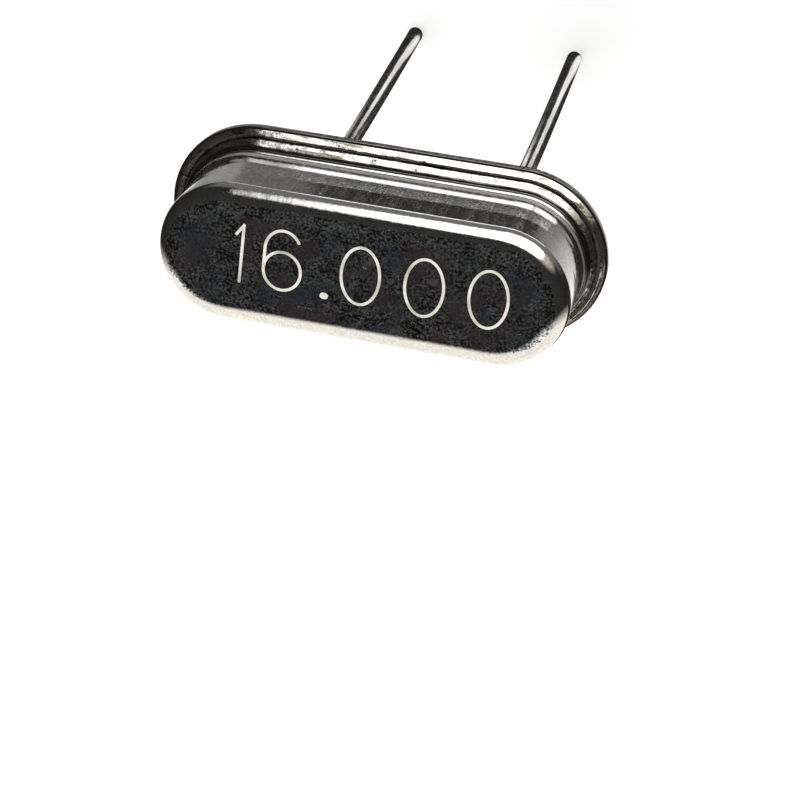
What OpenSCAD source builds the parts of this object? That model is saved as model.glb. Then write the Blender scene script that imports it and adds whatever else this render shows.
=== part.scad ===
// Low-profile quartz crystal in a welded metal can with two wire leads.
// Origin at the centre of the base underside, +Z towards the can top,
// +X along the long side, the leads point to -Z.

/* [Can] */
// Overall height of the can above the seating plane
can_height = 3.35; // [3.1:0.05:4.5]
// Length of the can over its round ends
can_length = 10.3; // [9.6:0.05:12]
// Width of the can
can_width = 3.65; // [3.2:0.05:4.4]
// Thickness of the drawn sheet
sheet = 0.2; // [0.12:0.01:0.25]
// Outer radius of the shoulder round the top face
shoulder_r = 0.65; // [0.35:0.05:0.8]
// Outer radius of the bend from the wall to the flange
foot_r = 0.05; // [0.03:0.01:0.1]
// Inner radius of that bend
foot_inner_r = 0.25; // [0.2:0.01:0.27]
// How far the flange stands out of the wall
can_flange = 0.22; // [0.18:0.01:0.4]
// Thickness of the flange's lip, which the weld presses thin
flange_lip = 0.02; // [0.02:0.01:0.06]
// Slope of the flange's pressed top
flange_slope = 44; // [30:1:50]

/* [Base] */
// How far the base plate stands out beyond the can's flange
base_ledge = 0.24; // [0.15:0.01:0.35]
// Thickness of the base plate at its rim
base_rim = 0.4; // [0.32:0.01:0.8]
// Radius of the lower edge of the base plate
base_edge_r = 0.15; // [0.05:0.01:0.15]
// Width and height of the bevel round the plate's upper edge
base_bevel = 0.12; // [0.02:0.01:0.15]
// Height of the plateau above the rim
plateau_height = 0.5; // [0.3:0.05:0.8]
// Gap between the plateau and the can's inner wall
plateau_gap = 0.1; // [0.05:0.01:0.2]
// Radius of the plateau's upper edge
plateau_edge_r = 0.15; // [0.05:0.01:0.25]

/* [Leads and seals] */
// Distance between the two leads
lead_pitch = 4.88; // [4.2:0.01:5.5]
// Diameter of the lead wire
lead_d = 0.43; // [0.35:0.01:0.5]
// Thickness of the tin on the free length
tin = 0.01; // [0.005:0.005:0.03]
// Length of the leads below the seating plane
lead_length = 13.5; // [4:0.1:20]
// Length over which the tin feathers out below the seal
tin_feather = 0.6; // [0.55:0.01:1]
// Chamfer of the cut tip
tip_chamfer = 0.06; // [0.02:0.01:0.1]
// Diameter of the glass seals
seal_d = 1.64; // [1.3:0.01:1.9]
// Depth of the glass below the base underside at its rim
seal_recess = 0.12; // [0.05:0.01:0.18]
// Height to which the glass creeps along the lead
seal_creep = 0.08; // [0.02:0.01:0.1]
// Diameter of the head on the lead's inner end
head_d = 0.8; // [0.6:0.05:1]
// Thickness of that head
head_t = 0.12; // [0.08:0.01:0.2]
// Height of the head's top above the plateau
head_top = 0.25; // [0.2:0.01:0.4]

/* [Spring clips] */
// Thickness of the clip strip
clip_t = 0.1; // [0.06:0.01:0.15]
// Width of the clip
clip_w = 1.2; // [0.9:0.05:1.5]
// Length of the foot inwards of the lead's axis
clip_heel = 0.45; // [0.3:0.05:0.6]
// Distance from the lead's axis out to the riser
clip_reach = 0.75; // [0.6:0.05:1]
// Height of the shelf above the foot
clip_rise = 0.75; // [0.5:0.05:1]
// How far the shelf runs past the blank's end
clip_lip = 0.29; // [0.27:0.01:0.5]
// Inner radius of the clip's bends
clip_bend_r = 0.1; // [0.06:0.01:0.15]
// Width of the slot that forks the shelf
clip_slot_w = 0.25; // [0.15:0.01:0.35]
// Length of that slot
clip_slot_l = 0.7; // [0.4:0.05:0.8]

/* [Quartz blank] */
// Gap between each end of the blank and the can's inner wall
blank_gap = 0.95; // [0.7:0.025:1.1]
// Width of the blank
blank_width = 1.8; // [1.4:0.05:2.2]
// Thickness of the blank, 1.66 divided by its frequency in MHz
blank_t = 0.104; // [0.06:0.001:0.3]
// Length of each electrode's working area
electrode_length = 4.2; // [3:0.1:5]
// Width of each electrode's working area
electrode_width = 1.3; // [0.8:0.05:1.35]
// Width of the tab that leads to the blank's end
tab_width = 0.5; // [0.3:0.05:0.8]
// Thickness given to the silver film
film = 0.02; // [0.01:0.005:0.03]
// Diameter of an adhesive dot
dot_d = 0.8; // [0.6:0.05:1]
// Height of an adhesive dot above the blank
dot_h = 0.15; // [0.08:0.01:0.25]
// Distance from a dot's centre to the blank's end
dot_inset = 0.15; // [0:0.05:0.4]

/* [Hidden] */
$fn = 96;

LEFT = -1;
RIGHT = 1;
TOP = 1;
BOTTOM = -1;
slack = 1; // how far a cutter runs past what it cuts

// Distance between the centres of the round ends, the same for the can, its flange and the base.
run = can_length - can_width;
can_r = can_width / 2;
flange_r = can_r + can_flange;
base_r = flange_r + base_ledge;
cavity_r = can_r - sheet;
plateau_r = cavity_r - plateau_gap;

lip_z = base_rim + flange_lip;
toe_r = can_r + foot_r * (1 - sin(flange_slope));
toe_z = lip_z + (flange_r - toe_r) * tan(flange_slope);
foot_z = toe_z + foot_r * cos(flange_slope);
plateau_top = base_rim + plateau_height;
head_z = plateau_top + head_top;

lead_x = lead_pitch / 2;
lead_r = lead_d / 2;
tinned_r = lead_r + tin;
seal_r = seal_d / 2;

blank_end = run / 2 + cavity_r - blank_gap;
shelf_z = head_z + clip_t + clip_rise;
shelf_end = blank_end + clip_lip;
riser_x = lead_x + clip_reach;
bend_outer_r = clip_bend_r + clip_t;
blank_z = shelf_z + film;
dot_x = blank_end - dot_inset;

// A body whose half section, drawn as radius against height, runs round a slot outline:
// turned half a circle at each end and drawn straight between the two end centres.
module slot_sweep() {
    for (side = [LEFT, RIGHT])
        translate([side * run / 2, 0, 0])
            rotate([0, 0, -side * 90])
                rotate_extrude(angle = 180)
                    children();
    translate([-run / 2, 0, 0])
        rotate([90, 0, 90])
            linear_extrude(run) {
                children();
                mirror([1, 0]) children();
            }
}

// Half section of a plain slab from the axis out to radius r, with its outer edges rounded.
module slab_section(r, z0, z1, lower_r, upper_r) {
    difference() {
        translate([0, z0]) square([r, z1 - z0]);
        edge_cut(r, z0, lower_r, BOTTOM);
        edge_cut(r, z1, upper_r, TOP);
    }
}

// What rounding an outer edge with radius e takes off the corner at (r, z).
module edge_cut(r, z, e, end) {
    if (e > 0)
        difference() {
            translate([r - e, end == TOP ? z - e : z - slack])
                square([e + slack, e + slack]);
            translate([r - e, z - end * e]) circle(e);
        }
}

// Half section of the cup: shoulder, wall, foot bend, and the flange that the weld has pressed
// to a slope. The outer side of the bend runs smoothly into the slope.
module can_section() {
    foot_centre = [can_r + foot_r, foot_z];
    difference() {
        union() {
            slab_section(can_r, base_rim, can_height, 0, shoulder_r);
            difference() {
                polygon([[0, base_rim], [flange_r, base_rim], [flange_r, lip_z],
                         [toe_r, toe_z], foot_centre, [0, foot_z]]);
                translate(foot_centre) circle(foot_r);
            }
        }
        slab_section(cavity_r, base_rim - slack, can_height - sheet, 0, shoulder_r - sheet);
        difference() {
            translate([0, base_rim - slack])
                square([cavity_r + foot_inner_r, foot_inner_r + slack]);
            translate([cavity_r + foot_inner_r, base_rim + foot_inner_r]) circle(foot_inner_r);
        }
    }
}

module can() {
    color([0.55, 0.55, 0.53])
        slot_sweep() can_section();
}

// Half section of the base plate, rounded below and bevelled above.
module plate_section() {
    difference() {
        polygon([[0, 0], [base_r, 0], [base_r, base_rim - base_bevel],
                 [base_r - base_bevel, base_rim], [0, base_rim]]);
        edge_cut(base_r, 0, base_edge_r, BOTTOM);
    }
}

module base() {
    color([0.78, 0.74, 0.69])
        difference() {
            slot_sweep() {
                plate_section();
                slab_section(plateau_r, 0, plateau_top, 0, plateau_edge_r);
            }
            for (side = [LEFT, RIGHT])
                translate([side * lead_x, 0, -slack])
                    cylinder(r = seal_r, h = plateau_top + 2 * slack);
        }
}

// Bead that fills the base's hole, level with the plateau inside and recessed outside,
// where the glass rises in a hollow curve against the lead.
module glass_seal(side) {
    creep_span = seal_r - lead_r;
    translate([side * lead_x, 0, 0])
        rotate_extrude()
            difference() {
                translate([lead_r, seal_recess - seal_creep])
                    square([creep_span, plateau_top - seal_recess + seal_creep]);
                translate([seal_r, seal_recess - seal_creep])
                    intersection() {
                        translate([-creep_span, 0]) square([creep_span, seal_creep]);
                        scale([creep_span / seal_creep, 1]) circle(seal_creep);
                    }
            }
}

module glass_seal_left() { color([0.3, 0.28, 0.28]) glass_seal(LEFT); }
module glass_seal_right() { color([0.3, 0.28, 0.28]) glass_seal(RIGHT); }

// Wire with a flattened head inside; below the seal the tin thickens it a little.
module lead(side) {
    translate([side * lead_x, 0, 0]) {
        translate([0, 0, head_z - head_t]) cylinder(d = head_d, h = head_t);
        rotate_extrude()
            polygon([[0, -lead_length], [tinned_r - tip_chamfer, -lead_length],
                     [tinned_r, tip_chamfer - lead_length], [tinned_r, -tin_feather],
                     [lead_r, 0], [lead_r, head_z - head_t / 2], [0, head_z - head_t / 2]]);
    }
}

module lead_left() { color([0.72, 0.72, 0.72]) lead(LEFT); }
module lead_right() { color([0.72, 0.72, 0.72]) lead(RIGHT); }

// Strip bent to a step: foot on the lead's head, riser, and a forked shelf under the blank's end.
module spring_clip(side) {
    mirror([side == LEFT ? 1 : 0, 0, 0])
        difference() {
            translate([0, clip_w / 2, 0])
                rotate([90, 0, 0])
                    linear_extrude(clip_w) clip_section();
            translate([shelf_end - clip_slot_l, -clip_slot_w / 2, shelf_z - clip_t - slack])
                cube([clip_slot_l + slack, clip_slot_w, clip_t + 2 * slack]);
        }
}

// Side view of the right clip, one strip thickness all along.
module clip_section() {
    foot_bend = [riser_x - bend_outer_r, head_z + bend_outer_r];
    shelf_bend = [riser_x - clip_t + bend_outer_r, shelf_z - bend_outer_r];
    translate([lead_x - clip_heel, head_z])
        square([foot_bend[0] - lead_x + clip_heel, clip_t]);
    quarter_bend(foot_bend, [0, -1]);
    translate([riser_x - clip_t, foot_bend[1]])
        square([clip_t, shelf_bend[1] - foot_bend[1]]);
    quarter_bend(shelf_bend, [-1, 0]);
    translate([shelf_bend[0], shelf_z - clip_t])
        square([shelf_end - shelf_bend[0], clip_t]);
}

// Quarter of a ring about its centre, in the quadrant whose lower left corner the second value gives.
module quarter_bend(centre, corner) {
    translate(centre)
        intersection() {
            difference() {
                circle(bend_outer_r);
                circle(clip_bend_r);
            }
            translate(corner * bend_outer_r) square(bend_outer_r);
        }
}

module spring_clip_left() { color([0.8, 0.75, 0.6]) spring_clip(LEFT); }
module spring_clip_right() { color([0.8, 0.75, 0.6]) spring_clip(RIGHT); }

module quartz_blank() {
    color([0.85, 0.9, 0.92])
        translate([-blank_end, -blank_width / 2, blank_z])
            cube([2 * blank_end, blank_width, blank_t]);
}

// Film on one face of the blank, with a tab out to the middle of the adhesive dot on its side.
module electrode(z, side) {
    translate([0, 0, z]) {
        translate([-electrode_length / 2, -electrode_width / 2, 0])
            cube([electrode_length, electrode_width, film]);
        translate([side == LEFT ? -dot_x : 0, -tab_width / 2, 0])
            cube([dot_x, tab_width, film]);
    }
}

module electrode_top() { color([0.9, 0.9, 0.92]) electrode(blank_z + blank_t, LEFT); }
module electrode_bottom() { color([0.9, 0.9, 0.92]) electrode(blank_z - film, RIGHT); }

// Dot of paste that stands on the shelf and wraps the blank's end and the film's tab.
module adhesive(side) {
    difference() {
        translate([side * dot_x, 0, 0])
            rotate_extrude()
                slab_section(dot_d / 2, shelf_z, blank_z + blank_t + film + dot_h, 0, dot_h / 2);
        quartz_blank();
        electrode_top();
        electrode_bottom();
    }
}

module adhesive_left() { color([0.7, 0.68, 0.62]) adhesive(LEFT); }
module adhesive_right() { color([0.7, 0.68, 0.62]) adhesive(RIGHT); }

can();
base();
glass_seal_left();
glass_seal_right();
lead_left();
lead_right();
spring_clip_left();
spring_clip_right();
quartz_blank();
electrode_top();
electrode_bottom();
adhesive_left();
adhesive_right();
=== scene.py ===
import logging
import math
from dataclasses import dataclass
from enum import Enum

import bmesh
import bpy
import numpy as np
from mathutils import Matrix, Vector


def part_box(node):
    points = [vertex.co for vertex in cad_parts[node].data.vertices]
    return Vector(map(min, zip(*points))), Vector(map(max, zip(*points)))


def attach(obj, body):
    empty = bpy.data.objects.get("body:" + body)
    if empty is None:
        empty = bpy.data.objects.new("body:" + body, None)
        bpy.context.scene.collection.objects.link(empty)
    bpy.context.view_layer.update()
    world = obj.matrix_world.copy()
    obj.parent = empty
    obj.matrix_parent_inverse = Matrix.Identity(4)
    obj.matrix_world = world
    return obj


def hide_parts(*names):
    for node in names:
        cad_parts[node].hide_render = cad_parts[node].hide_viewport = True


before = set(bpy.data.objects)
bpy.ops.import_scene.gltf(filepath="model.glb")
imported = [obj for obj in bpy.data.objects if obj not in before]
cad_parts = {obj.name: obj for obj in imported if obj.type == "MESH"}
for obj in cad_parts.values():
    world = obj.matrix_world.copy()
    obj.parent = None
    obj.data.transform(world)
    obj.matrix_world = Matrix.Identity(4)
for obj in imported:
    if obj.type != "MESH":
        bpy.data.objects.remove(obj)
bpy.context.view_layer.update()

# Sizes in this file are millimetres, as on a drawing; a mesh is scaled to metres when it is made.
MM = 0.001
ROOT = "root"
# Angle in degrees beyond which an edge stays sharp.
CREASE = 40.0

log = logging.getLogger("quartz_crystal")

Colour = tuple[float, float, float]
Triple = tuple[float, float, float]
Pair = tuple[float, float]


class Side(Enum):
    """Which end of the part a piece is at, as the sign of its X."""

    LEFT = -1
    RIGHT = 1

    @property
    def label(self) -> str:
        """The side as the pieces' names write it."""
        return self.name.lower()


class Seen(Enum):
    """Which rays meet a piece of the stage."""

    CAMERA = "camera"
    REFLECTION = "reflection"


# ---------------------------------------------------------------- sections, outlines and grids


def straight(start: Pair, end: Pair, steps: int) -> np.ndarray:
    """Points on a straight line, start + t (end - start) for even t from 0 to 1.

    Args:
        start: First point, radius and height.
        end: Last point.
        steps: Number of intervals.

    Returns:
        Array of steps + 1 points.
    """
    t = np.linspace(0.0, 1.0, steps + 1)[:, None]
    return (1.0 - t) * np.array(start) + t * np.array(end)


def bend(centre: Pair, radius: float, start: float, end: float, steps: int) -> np.ndarray:
    """Points on an arc, centre + radius (cos a, sin a) for even a from start to end.

    Args:
        centre: Centre of the arc, radius and height.
        radius: Radius of the arc.
        start: First angle in degrees.
        end: Last angle in degrees.
        steps: Number of intervals.

    Returns:
        Array of steps + 1 points.
    """
    a = np.radians(np.linspace(start, end, steps + 1))
    return np.array(centre) + radius * np.column_stack((np.cos(a), np.sin(a)))


def join(*parts: np.ndarray) -> np.ndarray:
    """One line through all parts, without the points that two neighbours share.

    Args:
        parts: Lines of points, in order.

    Returns:
        The joined line.
    """
    line = np.vstack(parts)
    keep = np.r_[True, np.linalg.norm(np.diff(line, axis=0), axis=1) > 1e-9]
    return line[keep]


def spin(degrees: float) -> np.ndarray:
    """Matrix that turns rows (x, y) anticlockwise by an angle."""
    a = math.radians(degrees)
    return np.array(((math.cos(a), math.sin(a)), (-math.sin(a), math.cos(a))))


def raised(flat: np.ndarray, height: np.ndarray) -> np.ndarray:
    """Grid (rows, columns, 3) from flat points (rows, columns, 2) and one height per row."""
    tall = np.broadcast_to(height[:, None, None], flat.shape[:2] + (1,))
    return np.concatenate((flat, tall), axis=2)


def turned(section: np.ndarray, steps: int) -> np.ndarray:
    """Grid of a section turned about the Z axis: (r cos a, r sin a, z) for even angles a.

    Args:
        section: Radius r and height z per row.
        steps: Number of angles.

    Returns:
        Array (rows, steps, 3), a ring across its columns.
    """
    a = np.linspace(0.0, 2 * math.pi, steps, endpoint=False)
    ring = np.column_stack((np.cos(a), np.sin(a)))
    return raised(section[:, 0][:, None, None] * ring, section[:, 1])


@dataclass(frozen=True)
class SlotOutline:
    """Two half circles whose centres are run apart, joined by straight sides.

    A section of radius r and height z is carried round it: at the outline's unit normal n and
    foot c on the line between the centres, the point is (c + r n, z).
    """

    run: float
    arc_steps: int = 96
    side_steps: int = 44

    def stations(self) -> tuple[np.ndarray, np.ndarray]:
        """Feet and normals of the stations, counter-clockwise from the middle of the -Y side.

        Returns:
            Two arrays with one row (x, y) per station.
        """
        half = self.run / 2
        turn = np.radians(np.linspace(-90.0, 90.0, self.arc_steps + 1))
        arc = np.column_stack((np.cos(turn), np.sin(turn)))
        go = np.linspace(0.0, 1.0, self.side_steps // 2 + 1)[1:-1]
        feet, normals = [], []
        for sign in (1.0, -1.0):
            feet.append(np.column_stack((sign * half * go, 0.0 * go)))
            normals.append(np.tile((0.0, -sign), (len(go), 1)))
            feet.append(np.tile((sign * half, 0.0), (len(arc), 1)))
            normals.append(sign * arc)
            back = go[::-1]
            feet.append(np.column_stack((sign * half * back, 0.0 * back)))
            normals.append(np.tile((0.0, sign), (len(go), 1)))
            feet.append(np.zeros((1, 2)))
            normals.append(np.array([(0.0, sign)]))
        return np.vstack(feet), np.vstack(normals)

    def carry(self, section: np.ndarray) -> np.ndarray:
        """Grid of a section carried round the outline.

        Args:
            section: Radius and height per row.

        Returns:
            Array (rows, stations, 3) in millimetres.
        """
        feet, normals = self.stations()
        return raised(feet + section[:, 0][:, None, None] * normals, section[:, 1])


@dataclass
class Patch:
    """A grid of points whose columns close into a ring; its rows close too where loop is set."""

    points: np.ndarray
    loop: bool = False

    def quads(self, first: int) -> np.ndarray:
        """Corner numbers of the faces between neighbouring rows and columns.

        Args:
            first: Number of the patch's first vertex in the mesh.

        Returns:
            Array with four vertex numbers per face.
        """
        rows, cols = self.points.shape[:2]
        i = np.arange(rows if self.loop else rows - 1)[:, None]
        j = np.arange(cols)[None]
        a, b = i * cols + j, i * cols + (j + 1) % cols
        below = (i + 1) % rows
        c, d = below * cols + (j + 1) % cols, below * cols + j
        return np.stack((a, b, c, d), axis=-1).reshape(-1, 4) + first


def make_piece(name: str, patches: list[Patch]) -> bpy.types.Object:
    """Makes one closed, smooth piece from its patches.

    Shared points are merged, so seams and poles are closed, and faces are turned outwards.

    Args:
        name: Name of the piece.
        patches: Grids in millimetres.

    Returns:
        The object, at the origin, with its place in its mesh.
    """
    faces, points, first = [], [], 0
    for patch in patches:
        faces.append(patch.quads(first))
        points.append(patch.points.reshape(-1, 3))
        first += len(points[-1])
    mesh = bpy.data.meshes.new(name)
    mesh.from_pydata(np.vstack(points) * MM, [], np.vstack(faces))
    work = bmesh.new()
    work.from_mesh(mesh)
    bmesh.ops.remove_doubles(work, verts=work.verts, dist=2e-7)
    bmesh.ops.dissolve_degenerate(work, dist=1e-8, edges=work.edges)
    bmesh.ops.recalc_face_normals(work, faces=work.faces)
    work.to_mesh(mesh)
    work.free()
    mesh.shade_smooth()
    mesh.set_sharp_from_angle(angle=math.radians(CREASE))
    piece = bpy.data.objects.new(name, mesh)
    bpy.context.scene.collection.objects.link(piece)
    return piece


def ripple(points: np.ndarray, lengths: tuple[float, ...], depth: float, seed: int) -> np.ndarray:
    """Gentle unevenness: the mean of sines of random direction and phase, one set per wavelength.

    Args:
        points: Array (..., 3) in millimetres.
        lengths: Wavelengths in millimetres.
        depth: Largest height in millimetres.
        seed: Seed of the random draws.

    Returns:
        Height at each point in millimetres.
    """
    draw = np.random.default_rng(seed)
    total, waves = np.zeros(points.shape[:-1]), 5
    for length in lengths:
        for _ in range(waves):
            way = draw.normal(size=3)
            way *= 2.0 * math.pi / (length * np.linalg.norm(way))
            total = total + np.sin(points @ way + draw.uniform(0.0, 2.0 * math.pi))
    return depth * total / (waves * len(lengths))


def outward(grid: np.ndarray) -> np.ndarray:
    """Unit normals of a grid whose columns form a ring, as the cross product of its two slopes.

    Args:
        grid: Array (rows, columns, 3).

    Returns:
        Array of the same shape.
    """
    across = np.roll(grid, -1, axis=1) - np.roll(grid, 1, axis=1)
    down = np.gradient(grid, axis=0)
    normal = np.cross(across, down)
    size = np.linalg.norm(normal, axis=-1, keepdims=True)
    return normal / np.maximum(size, 1e-12)


# ---------------------------------------------------------------- shader helpers


class Tree:
    """A node tree with short ways to add nodes and feed their sockets."""

    def __init__(self, tree: bpy.types.NodeTree) -> None:
        """Keeps the tree that nodes are added to."""
        self.tree = tree

    def add(self, kind: str, feeds: dict | None = None, **settings: object) -> bpy.types.Node:
        """Adds a node.

        Args:
            kind: Type of the node.
            feeds: Value or socket per input, by name or number.
            settings: Properties of the node.

        Returns:
            The new node.
        """
        node = self.tree.nodes.new(kind)
        for key, value in settings.items():
            setattr(node, key, value)
        for key, value in (feeds or {}).items():
            self.feed(node.inputs[key], value)
        return node

    def feed(self, target: bpy.types.NodeSocket, value: object) -> None:
        """Links a socket to an input, or writes a plain value into it.

        Args:
            target: The input.
            value: Socket or value.
        """
        if isinstance(value, bpy.types.NodeSocket):
            self.tree.links.new(value, target)
        else:
            target.default_value = value

    def math(self, operation: str, *values: object, clamp: bool = False) -> bpy.types.NodeSocket:
        """Output of a Math node on the given values or sockets."""
        feeds = dict(enumerate(values))
        return self.add("ShaderNodeMath", feeds, operation=operation, use_clamp=clamp).outputs[0]

    def times(self, a: object, b: object) -> bpy.types.NodeSocket:
        """Product a b."""
        return self.math("MULTIPLY", a, b)

    def plus(self, a: object, b: object) -> bpy.types.NodeSocket:
        """Sum a + b."""
        return self.math("ADD", a, b)

    def minus(self, a: object, b: object) -> bpy.types.NodeSocket:
        """Difference a - b."""
        return self.math("SUBTRACT", a, b)

    def vector(self, operation: str, a: object, b: object) -> bpy.types.NodeSocket:
        """Output of a Vector Math node on two vectors."""
        return self.add("ShaderNodeVectorMath", {0: a, 1: b}, operation=operation).outputs[0]

    def add_share(self, value: object, mask: object, share: object) -> bpy.types.NodeSocket:
        """Value plus share times mask."""
        return self.plus(value, self.times(mask, share))

    def blend(self, factor: object, a: object, b: object, mode: str = "MIX") -> bpy.types.NodeSocket:
        """Colour between a and b, by factor, from a Mix node.

        Args:
            factor: Share of b, a value or socket.
            a: First colour or socket.
            b: Second colour or socket.
            mode: How b goes on a.

        Returns:
            The colour's socket.
        """
        a, b = ((*c, 1.0) if isinstance(c, tuple) and len(c) == 3 else c for c in (a, b))
        node = self.add("ShaderNodeMix", {0: factor, 6: a, 7: b}, data_type="RGBA", blend_type=mode)
        return node.outputs[2]

    def lay(self, mask: object, share: object, under: object, top: Colour) -> bpy.types.NodeSocket:
        """Colour under, blended to the colour top by share times mask."""
        return self.blend(self.times(mask, share), under, top)

    def spread(
        self, value: object, low: float, high: float, to_low: float = 0.0, to_high: float = 1.0,
        smooth: bool = False,
    ) -> bpy.types.NodeSocket:
        """Value carried from low..high to to_low..to_high and kept within it.

        Args:
            value: Value or socket.
            low: Value that gives to_low.
            high: Value that gives to_high.
            to_low: Result at low.
            to_high: Result at high.
            smooth: Whether the step eases in and out.

        Returns:
            The result's socket.
        """
        feeds = {0: value, 1: low, 2: high, 3: to_low, 4: to_high}
        way = "SMOOTHSTEP" if smooth else "LINEAR"
        return self.add("ShaderNodeMapRange", feeds, interpolation_type=way).outputs[0]

    def band(self, value: object, *edges: float) -> bpy.types.NodeSocket:
        """1 between the inner two of four rising edges, fading to 0 at the outer two.

        Args:
            value: Value or socket.
            edges: The four edges.

        Returns:
            The mask's socket.
        """
        low, foot, head, high = edges
        return self.times(self.spread(value, low, foot), self.spread(value, high, head))

    def mix(self, factor: object, a: object, b: object) -> bpy.types.NodeSocket:
        """Shader between a and b, by factor."""
        return self.add("ShaderNodeMixShader", {0: factor, 1: a, 2: b}).outputs[0]


def oval(
    tree: Tree, u: bpy.types.NodeSocket, v: bpy.types.NodeSocket, power: float, softness: float
) -> bpy.types.NodeSocket:
    """Mask of the outline |u|^p + |v|^p = 1, softened on both sides of it.

    Args:
        tree: Tree to build in.
        u: Share of the half width.
        v: Share of the half height.
        power: The power p.
        softness: Half of the soft edge's width, in shares.

    Returns:
        The mask's socket.
    """
    across = tree.math("POWER", tree.math("ABSOLUTE", u), power)
    up = tree.math("POWER", tree.math("ABSOLUTE", v), power)
    reach = tree.math("POWER", tree.plus(across, up), 1.0 / power)
    return tree.spread(reach, 1.0 + softness, 1.0 - softness, smooth=True)


def emptied(owner: bpy.types.Material | bpy.types.World) -> Tree:
    """Clears a material or world of its first nodes.

    Args:
        owner: The material or world.

    Returns:
        Its node tree.
    """
    owner.use_nodes = True
    owner.node_tree.nodes.clear()
    return Tree(owner.node_tree)


def new_group(name: str, outputs: list[str], **inputs: object) -> tuple[Tree, dict, dict]:
    """Starts a shader node group whose first input is the Vector that it is laid out on.

    Args:
        name: Name of the group.
        outputs: Names of the float outputs.
        inputs: Default per further input; a triple makes a vector, a number a float.

    Returns:
        The tree, its inputs' sockets by name, and the output node's sockets by name.
    """
    group = bpy.data.node_groups.new(name, "ShaderNodeTree")
    for label, default in {"Vector": (0.0, 0.0, 0.0), **inputs}.items():
        kind = "NodeSocketVector" if isinstance(default, tuple) else "NodeSocketFloat"
        socket = group.interface.new_socket(name=label, in_out="INPUT", socket_type=kind)
        socket.default_value = default
    for label in outputs:
        group.interface.new_socket(name=label, in_out="OUTPUT", socket_type="NodeSocketFloat")
    tree = Tree(group)
    source, sink = tree.add("NodeGroupInput"), tree.add("NodeGroupOutput")
    return tree, {s.name: s for s in source.outputs}, {s.name: s for s in sink.inputs}


class Effects:
    """Shader groups that several finishes share, made once and kept by name."""

    def __init__(self) -> None:
        """Builds the groups."""
        self.mottle = self._mottle()
        self.strokes = self._strokes()
        self.specks = self._specks()
        self.stain = self._stain()

    @staticmethod
    def _mottle() -> bpy.types.NodeTree:
        """Cloudy patches: fractal noise, cut between Low and High.

        Returns:
            The group.
        """
        tree, source, sink = new_group(
            "mottle", ["Mask", "Height"], Scale=1.0, Detail=3.0, Low=0.35, High=0.65)
        noise = tree.add("ShaderNodeTexNoise", {
            "Roughness": 0.6, **{key: source[key] for key in ("Vector", "Scale", "Detail")}})
        tree.feed(sink["Mask"], tree.spread(noise.outputs[0], source["Low"], source["High"]))
        tree.feed(sink["Height"], noise.outputs[0])
        return tree.tree

    @staticmethod
    def _strokes() -> bpy.types.NodeTree:
        """Fine parallel lines: noise on coordinates that Stretch squeezes along the lines.

        Returns:
            The group.
        """
        tree, source, sink = new_group(
            "strokes", ["Mask", "Height"], Stretch=(1.0, 1.0, 0.05), Scale=10.0)
        squeezed = tree.vector("MULTIPLY", source["Vector"], source["Stretch"])
        noise = tree.add("ShaderNodeTexNoise", {
            "Vector": squeezed, "Scale": source["Scale"], "Detail": 2.0}).outputs[0]
        tree.feed(sink["Mask"], tree.spread(noise, 0.38, 0.62))
        tree.feed(sink["Height"], noise)
        return tree.tree

    @staticmethod
    def _specks() -> bpy.types.NodeTree:
        """Scattered dots: a round spot of Size in the few cells whose random value passes Share.

        Returns:
            The group.
        """
        tree, source, sink = new_group("specks", ["Mask"], Scale=5.0, Size=0.2, Share=0.2)
        cells = tree.add("ShaderNodeTexVoronoi", {
            "Vector": source["Vector"], "Scale": source["Scale"], "Randomness": 1.0}).outputs
        pick = tree.add("ShaderNodeSeparateColor", {0: cells["Color"]}).outputs[0]
        chosen = tree.math("LESS_THAN", pick, source["Share"])
        inner = tree.times(source["Size"], 0.4)
        spot = tree.spread(cells["Distance"], source["Size"], inner, smooth=True)
        tree.feed(sink["Mask"], tree.times(chosen, spot))
        return tree.tree

    @staticmethod
    def _stain() -> bpy.types.NodeTree:
        """A dried blot: an oval whose edge noise pushes in and out, with a darker tide line.

        Returns:
            The group.
        """
        tree, source, sink = new_group(
            "stain", ["Mask", "Rim"], Centre=(0.0, 0.0, 0.0), Size=(1.0, 1.0, 1.0), Ragged=0.6)
        local = tree.vector("SUBTRACT", source["Vector"], source["Centre"])
        local = tree.vector("DIVIDE", local, source["Size"])
        reach = tree.add("ShaderNodeVectorMath", {0: local}, operation="LENGTH").outputs["Value"]
        noise = tree.add("ShaderNodeTexNoise", {
            "Vector": source["Vector"], "Scale": 3.2, "Detail": 3.0}).outputs[0]
        push = tree.times(tree.minus(noise, 0.5), source["Ragged"])
        reach = tree.plus(reach, tree.times(push, 3.0))
        mask = tree.spread(reach, 1.02, 0.94, smooth=True)
        inside = tree.spread(reach, 0.92, 0.74, smooth=True)
        tree.feed(sink["Mask"], mask)
        tree.feed(sink["Rim"], tree.math("SUBTRACT", mask, inside, clamp=True))
        return tree.tree


EFFECTS = Effects()


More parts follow.
